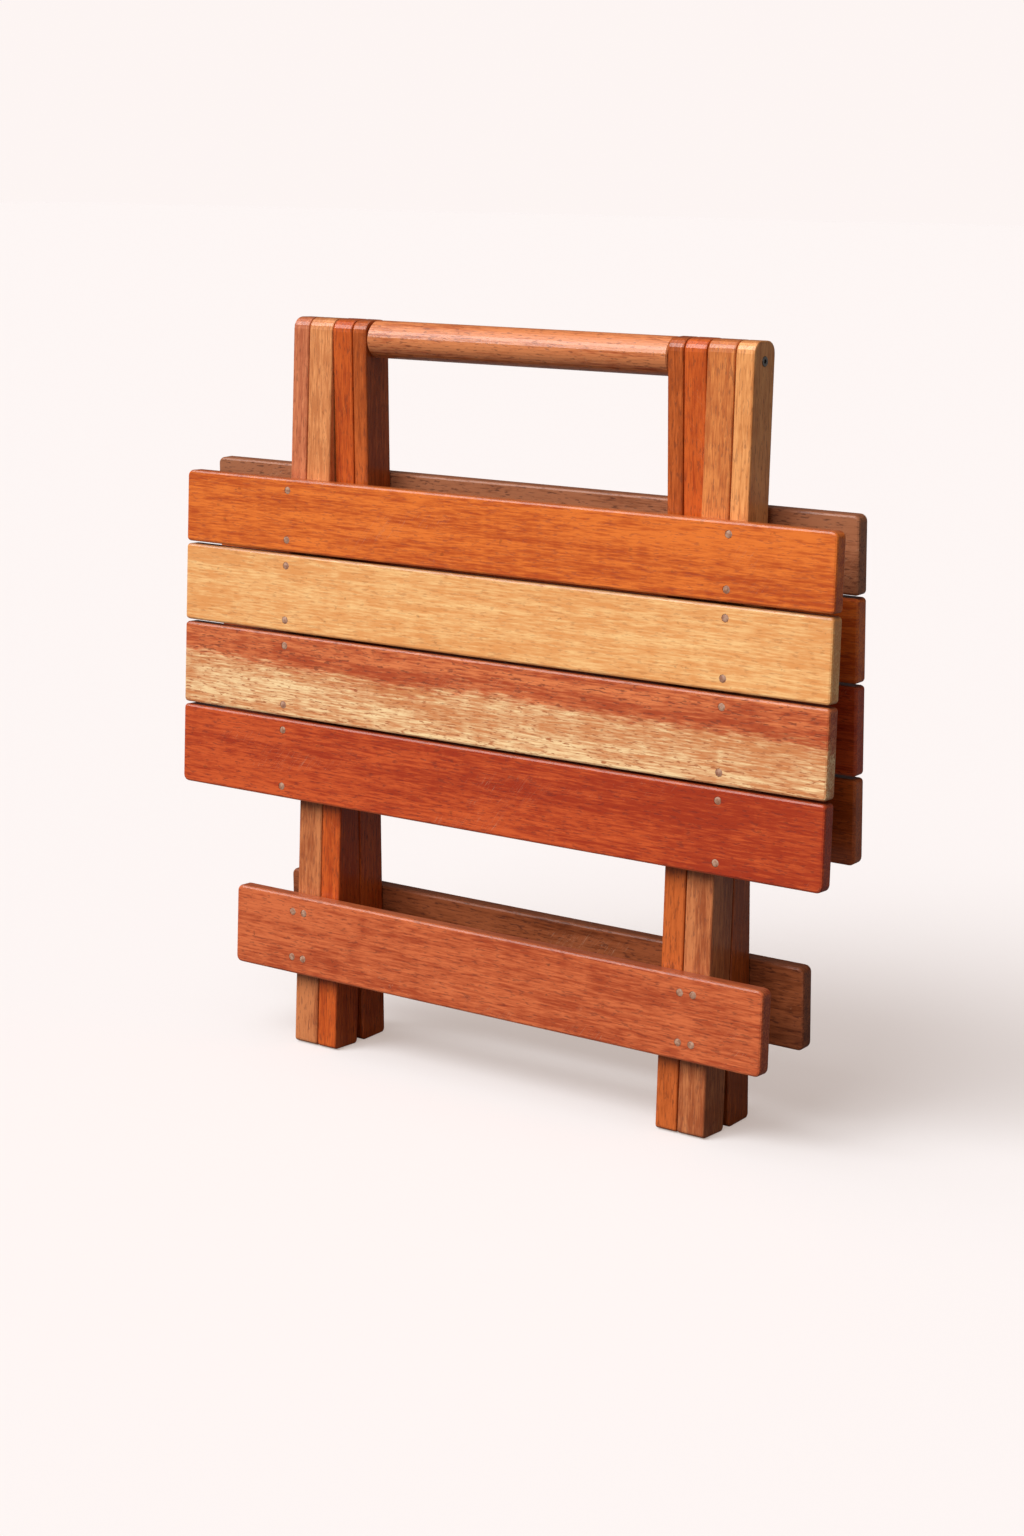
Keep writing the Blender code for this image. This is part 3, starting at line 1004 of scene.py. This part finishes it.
@dataclass
class LegFrame:
    """Two legs, their doublers and the crossbar.

    Args:
        name: The side that it is on.
        facing: The side that it leans to.
        finishes: Wood of each of its nodes.
        bar_height: Height of the crossbar.
        screw_from_edge: Distance of the screws from the crossbar's edges.
        screw_half_spacing: Distance of the screws from a leg's middle.
    """

    name: str
    facing: Facing
    finishes: dict[str, WoodFinish]
    bar_height: float = 0.0625
    screw_from_edge: float = 0.013
    screw_half_spacing: float = 0.0055

    def screw_spots(self, pivot: float) -> list[Matrix]:
        """Placement of each crossbar screw.

        Args:
            pivot: Height of the pivot line.

        Returns:
            One placement a screw.
        """
        hanging = HangingFrame(self.facing, pivot)
        bar_low, bar_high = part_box(f"{self.name}_crossbar")
        middle_z = (hanging.placement().inverted() @ ((bar_low + bar_high) / 2)).z
        reach = self.bar_height / 2 - self.screw_from_edge
        spots = []
        for side in SIDES:
            middle = middle_x(f"{self.name}_leg_{side}")
            for shift in (-self.screw_half_spacing, self.screw_half_spacing):
                for z in (middle_z - reach, middle_z + reach):
                    spots.append(hanging.inwards(middle + shift, z))
        return spots

    def build(self, frame: dict, shop: FinishShop, fastening: Fastening, pivot: float) -> None:
        """Dress the frame's nodes and fit the crossbar's screws and plugs.

        Args:
            frame: The loaded frame.
            shop: Makes the materials.
            fastening: Makes the screws and plugs.
            pivot: Height of the pivot line.
        """
        for part, finish in self.finishes.items():
            node = f"{self.name}_{part}"
            grain = Grain.ALONG_X if part == "crossbar" else Grain.ALONG_Z
            dress(frame, node, shop.wood(node, finish, grain, *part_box(node)))
        body = f"{self.name}_legs"
        spots = self.screw_spots(pivot)
        fastening.screws(f"{self.name}_crossbar_screws", spots, body, shop)
        fastening.plugs(f"{self.name}_crossbar_screw_plugs", spots, body, shop)


@dataclass
class Handle:
    """The round handle and its two pivot pins."""

    finish: WoodFinish = HAND_WORN_TAN

    def build(self, frame: dict, shop: FinishShop) -> None:
        """Dress the handle and the pins.

        Args:
            frame: The loaded frame.
            shop: Makes the materials.
        """
        node = "handle_dowel"
        dress(frame, node, shop.wood(node, self.finish, Grain.ALONG_X, *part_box(node)))
        steel = shop.steel("pivot_pin_steel")
        for side in SIDES:
            dress(frame, f"pivot_pin_{side}", steel)


# --- Studio ------------------------------------------------------------------------------


@dataclass(frozen=True)
class SunLight:
    """One wide, distant light.

    Args:
        name: Its name.
        power: Its strength.
        angle: Its width in degrees.
        direction: Where it stands, seen from the table.
    """

    name: str
    power: float
    angle: float
    direction: Colour

    def build(self) -> None:
        """Add the light to the scene."""
        data = bpy.data.lights.new(self.name, "SUN")
        data.energy = self.power
        data.angle = math.radians(self.angle)
        obj = bpy.data.objects.new(self.name, data)
        bpy.context.scene.collection.objects.link(obj)
        obj.rotation_euler = Vector(self.direction).to_track_quat("Z", "Y").to_euler()


@dataclass
class Studio:
    """Camera, floor and light.

    Args:
        lens: Focal length in millimetres.
        sensor: Width of the camera's sensor in millimetres.
        shift_y: Shift of the frame for the framing.
        eye: The camera's place.
        heading: Its turn about the vertical, in degrees.
        dip: Its turn below the horizontal, in degrees.
        roll: Its turn about its own axis, in degrees.
        floor_size: Length of the floor's sides.
        floor_colour: Colour of the floor as the camera sees it.
        floor_glow: Light that lifts the floor's shadows for the camera.
        air_colour: Colour of the surround.
        air_light: Share of the surround's light that falls on the table.
        air_gloss: Share of it that shows in reflections.
        bounce: Share of light that the floor throws back on the table.
        suns: The lights.
    """

    lens: float = 66.69
    sensor: float = 36.0
    shift_y: float = -0.0977
    eye: Colour = (1.2259, -1.7036, 0.6911)
    heading: float = 35.574
    dip: float = 9.103
    roll: float = 0.703
    floor_size: float = 60.0
    floor_colour: Colour = (0.474, 0.485, 0.504)
    floor_glow: Colour = (0.424, 0.352, 0.315)
    air_colour: Colour = (0.985, 0.915, 0.897)
    air_light: float = 0.20
    air_gloss: float = 0.05
    bounce: float = 0.14
    suns: tuple[SunLight, ...] = (
        SunLight("key", 1.85, 36.0, (-0.9, -1.2, 1.1)),
        SunLight("front_fill", 1.60, 40.0, (-0.1, -1.2, 1.3)),
        SunLight("top_light", 0.95, 60.0, (-0.3, -0.3, 1.0)),
    )

    def build(self) -> None:
        """Set up the camera, the floor and the light."""
        self.camera()
        self.floor()
        self.air()
        for light in self.suns:
            light.build()
        bpy.context.scene.view_settings.view_transform = "Standard"

    def camera(self) -> None:
        """A long lens at standing distance, looking down a little at the front right."""
        data = bpy.data.cameras.new("camera")
        data.lens = self.lens
        data.sensor_width = self.sensor
        data.shift_y = self.shift_y
        obj = bpy.data.objects.new("camera", data)
        bpy.context.scene.collection.objects.link(obj)
        aim = Matrix.Rotation(math.radians(self.heading), 4, "Z")
        aim = aim @ Matrix.Rotation(math.radians(90.0 - self.dip), 4, "X")
        aim = aim @ Matrix.Rotation(math.radians(self.roll), 4, "Z")
        obj.matrix_world = Matrix.Translation(self.eye) @ aim
        bpy.context.scene.camera = obj

    def floor(self) -> None:
        """A wide pale floor."""
        half = self.floor_size / 2
        mesh = bpy.data.meshes.new("floor")
        corners = [(-half, -half, 0.0), (half, -half, 0.0), (half, half, 0.0), (-half, half, 0.0)]
        mesh.from_pydata(corners, [], [(0, 1, 2, 3)])
        obj = bpy.data.objects.new("floor", mesh)
        bpy.context.scene.collection.objects.link(obj)
        mesh.materials.append(self.floor_material())

    def floor_material(self) -> bpy.types.Material:
        """Brighter for the camera than for the light that it throws on the table."""
        mat = bpy.data.materials.new("floor")
        mat.use_nodes = True
        sheet = NodeSheet(mat.node_tree)
        mat.node_tree.nodes.remove(mat.node_tree.nodes["Principled BSDF"])
        shown = sheet.add("ShaderNodeBsdfDiffuse")
        shown.inputs["Color"].default_value = (*self.floor_colour, 1.0)
        thrown = sheet.add("ShaderNodeBsdfDiffuse")
        thrown.inputs["Color"].default_value = (self.bounce, self.bounce, self.bounce, 1.0)
        glow = sheet.add("ShaderNodeEmission")
        glow.inputs["Color"].default_value = (*self.floor_glow, 1.0)
        lit = sheet.add("ShaderNodeAddShader")
        sheet.join(shown.outputs[0], lit.inputs[0])
        sheet.join(glow.outputs[0], lit.inputs[1])
        mix = sheet.add("ShaderNodeMixShader")
        sheet.join(sheet.add("ShaderNodeLightPath").outputs["Is Camera Ray"], mix.inputs[0])
        sheet.join(thrown.outputs[0], mix.inputs[1])
        sheet.join(lit.outputs[0], mix.inputs[2])
        sheet.join(mix.outputs[0], mat.node_tree.nodes["Material Output"].inputs["Surface"])
        return mat

    def air(self) -> None:
        """A pale surround that lights the table softly."""
        world = bpy.data.worlds.new("studio")
        bpy.context.scene.world = world
        world.use_nodes = True
        sheet = NodeSheet(world.node_tree)
        back = world.node_tree.nodes["Background"]
        back.inputs["Color"].default_value = (*self.air_colour, 1.0)
        path = sheet.add("ShaderNodeLightPath")
        power = sheet.weighted([
            (path.outputs["Is Camera Ray"], 1.0 - self.air_light),
            (path.outputs["Is Glossy Ray"], self.air_gloss - self.air_light),
        ])
        power = sheet.plus(power, self.air_light)
        sheet.join(power, back.inputs["Strength"])


def trays() -> list[Tray]:
    """The front and the back tray."""
    return [
        Tray("front", Facing.FRONT, (ORANGE, GOLDEN, RED_AND_STRAW, DEEP_RED),
             {"left": RUSSET, "right": PALE_TAN}, 0.110),
        Tray("back", Facing.BACK, (BARE_BROWN, ORANGE, DEEP_RED, BROWN_ORANGE),
             {"left": BROWN_ORANGE, "right": BROWN_ORANGE}, 0.104),
    ]


def leg_frames() -> list[LegFrame]:
    """The front and the back leg frame."""
    return [
        # The front legs are painted darker on their lower part, as shade.
        LegFrame("front", Facing.FRONT, {
            "leg_left": HONEY, "leg_right": TAN, "leg_doubler_left": RED_ORANGE,
            "leg_doubler_right": BROWN_ORANGE, "crossbar": BAR_RED,
        }),
        LegFrame("back", Facing.BACK, {
            "leg_left": RED_ORANGE, "leg_right": RED_ORANGE, "leg_doubler_left": BROWN_ORANGE,
            "leg_doubler_right": BROWN_ORANGE, "crossbar": DARK_BROWN,
        }),
    ]


def clear_scene() -> None:
    """Remove what the opened file holds."""
    for obj in list(bpy.data.objects):
        bpy.data.objects.remove(obj, do_unlink=True)


def main() -> None:
    """Load the frame, dress every piece and set up the studio."""
    logging.basicConfig(level=logging.INFO, format="%(name)s: %(message)s")
    clear_scene()
    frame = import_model()
    pivot = frame["joints"][0]["pos_m"][2]
    shop = FinishShop(SharedEffects.build())
    fastening = Fastening()
    Studio().build()
    for tray in trays():
        tray.build(frame, shop, fastening, pivot)
    for legs in leg_frames():
        legs.build(frame, shop, fastening, pivot)
    Handle().build(frame, shop)


if __name__ == "__main__":
    main()
